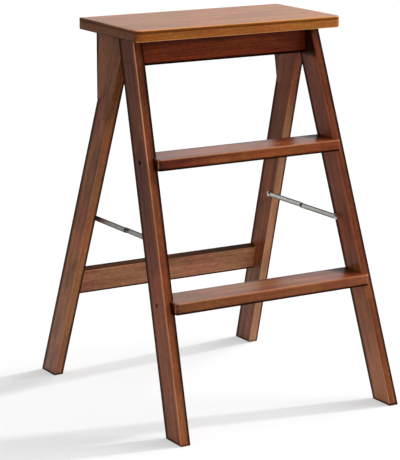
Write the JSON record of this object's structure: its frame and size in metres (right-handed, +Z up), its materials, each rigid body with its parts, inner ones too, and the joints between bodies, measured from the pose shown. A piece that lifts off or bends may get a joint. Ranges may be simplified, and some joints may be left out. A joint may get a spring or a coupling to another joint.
{
  "type": "folding step stool",
  "caption": "Wooden folding step stool chair: a raked front frame with seat board and housed treads, a rear leg frame hinged under the seat, and folding steel side braces.",
  "frame": {"origin": "on the floor, under the middle of the stool's width and depth as it stands open", "axes": "+Z up, the front with the treads faces -Y, +X to the viewer's right in a front view"},
  "size_m": [0.4318, 0.495, 0.65],
  "materials": {
    "seat_wood": "satin clear-coated hardwood, light reddish tan, fine straight grain along the width",
    "tread_wood": "satin stained hardwood, reddish brown, grain along the length",
    "frame_wood": "satin stained hardwood, dark red-brown, grain along the length",
    "rear_wood": "satin stained hardwood, mid brown, grain along the length",
    "dowel_wood": "plain unstained beech",
    "brace_steel": "dull nickel plate over pressed strip",
    "hinge_steel": "plain rolled steel",
    "screw_steel": "dark oiled steel"
  },
  "bodies": {
    "front_frame": {"seat_board": "seat_wood", "front_apron": "frame_wood", "middle_tread": "tread_wood", "lower_tread": "tread_wood", "left_front_stile": "frame_wood", "right_front_stile": "frame_wood", "left_apron_dowel_1": "dowel_wood", "left_apron_dowel_2": "dowel_wood", "left_seat_dowel": "dowel_wood", "left_seat_screw": "screw_steel", "left_lower_tread_screw": "screw_steel", "left_middle_tread_screw": "screw_steel", "left_elbow_front_leaf": "hinge_steel", "left_elbow_pin": "hinge_steel", "left_elbow_front_screw_1": "screw_steel", "left_elbow_front_screw_2": "screw_steel", "left_brace_front_spacer": "brace_steel", "left_brace_front_screw": "brace_steel", "right_apron_dowel_1": "dowel_wood", "right_apron_dowel_2": "dowel_wood", "right_seat_dowel": "dowel_wood", "right_seat_screw": "screw_steel", "right_lower_tread_screw": "screw_steel", "right_middle_tread_screw": "screw_steel", "right_elbow_front_leaf": "hinge_steel", "right_elbow_pin": "hinge_steel", "right_elbow_front_screw_1": "screw_steel", "right_elbow_front_screw_2": "screw_steel", "right_brace_front_spacer": "brace_steel", "right_brace_front_screw": "brace_steel"},
    "rear_frame": {"rear_rail": "rear_wood", "left_rear_leg": "rear_wood", "right_rear_leg": "rear_wood", "left_rear_cheek": "rear_wood", "right_rear_cheek": "rear_wood", "left_rail_dowel_1": "dowel_wood", "left_rail_dowel_2": "dowel_wood", "left_cheek_dowel": "dowel_wood", "left_elbow_rear_leaf": "hinge_steel", "left_elbow_rear_screw_1": "screw_steel", "left_elbow_rear_screw_2": "screw_steel", "left_brace_rear_spacer": "brace_steel", "left_brace_rear_screw": "brace_steel", "right_rail_dowel_1": "dowel_wood", "right_rail_dowel_2": "dowel_wood", "right_cheek_dowel": "dowel_wood", "right_elbow_rear_leaf": "hinge_steel", "right_elbow_rear_screw_1": "screw_steel", "right_elbow_rear_screw_2": "screw_steel", "right_brace_rear_spacer": "brace_steel", "right_brace_rear_screw": "brace_steel"},
    "left_front_link": {"left_brace_front_link": "brace_steel", "left_brace_rivet_head": "brace_steel"},
    "left_rear_link": {"left_brace_rear_link": "brace_steel", "left_brace_rivet_tail": "brace_steel"},
    "right_front_link": {"right_brace_front_link": "brace_steel", "right_brace_rivet_head": "brace_steel"},
    "right_rear_link": {"right_brace_rear_link": "brace_steel", "right_brace_rivet_tail": "brace_steel"}
  },
  "joints": [
    {"name": "rear_frame_fold", "type": "hinge", "parent": "front_frame", "child": "rear_frame", "pos_m": [0, 0.003, 0.5955], "axis": [-1, 0, 0], "range_deg": [0, 36.8]},
    {"name": "left_front_link_turn", "type": "hinge", "parent": "front_frame", "child": "left_front_link", "pos_m": [-0.17775, -0.10699, 0.30328], "axis": [0.9986, 0, -0.0531], "range_deg": [0, 72.8]},
    {"name": "left_rear_link_turn", "type": "hinge", "parent": "rear_frame", "child": "left_rear_link", "pos_m": [-0.17985, 0.10703, 0.30339], "axis": [-0.9986, 0, 0.0531], "range_deg": [0, 60.5]},
    {"name": "right_front_link_turn", "type": "hinge", "parent": "front_frame", "child": "right_front_link", "pos_m": [0.17757, -0.10699, 0.30678], "axis": [0.9986, 0, 0.0531], "range_deg": [0, 71.6]},
    {"name": "right_rear_link_turn", "type": "hinge", "parent": "rear_frame", "child": "right_rear_link", "pos_m": [0.17967, 0.10703, 0.30689], "axis": [-0.9986, 0, -0.0531], "range_deg": [0, 60.6]}
  ],
  "couplings": [
    {"joint": "left_front_link_turn", "follows": "rear_frame_fold", "ratio": 1.9768},
    {"joint": "left_rear_link_turn", "follows": "rear_frame_fold", "ratio": 1.6427},
    {"joint": "right_front_link_turn", "follows": "rear_frame_fold", "ratio": 1.943},
    {"joint": "right_rear_link_turn", "follows": "rear_frame_fold", "ratio": 1.6444}
  ]
}
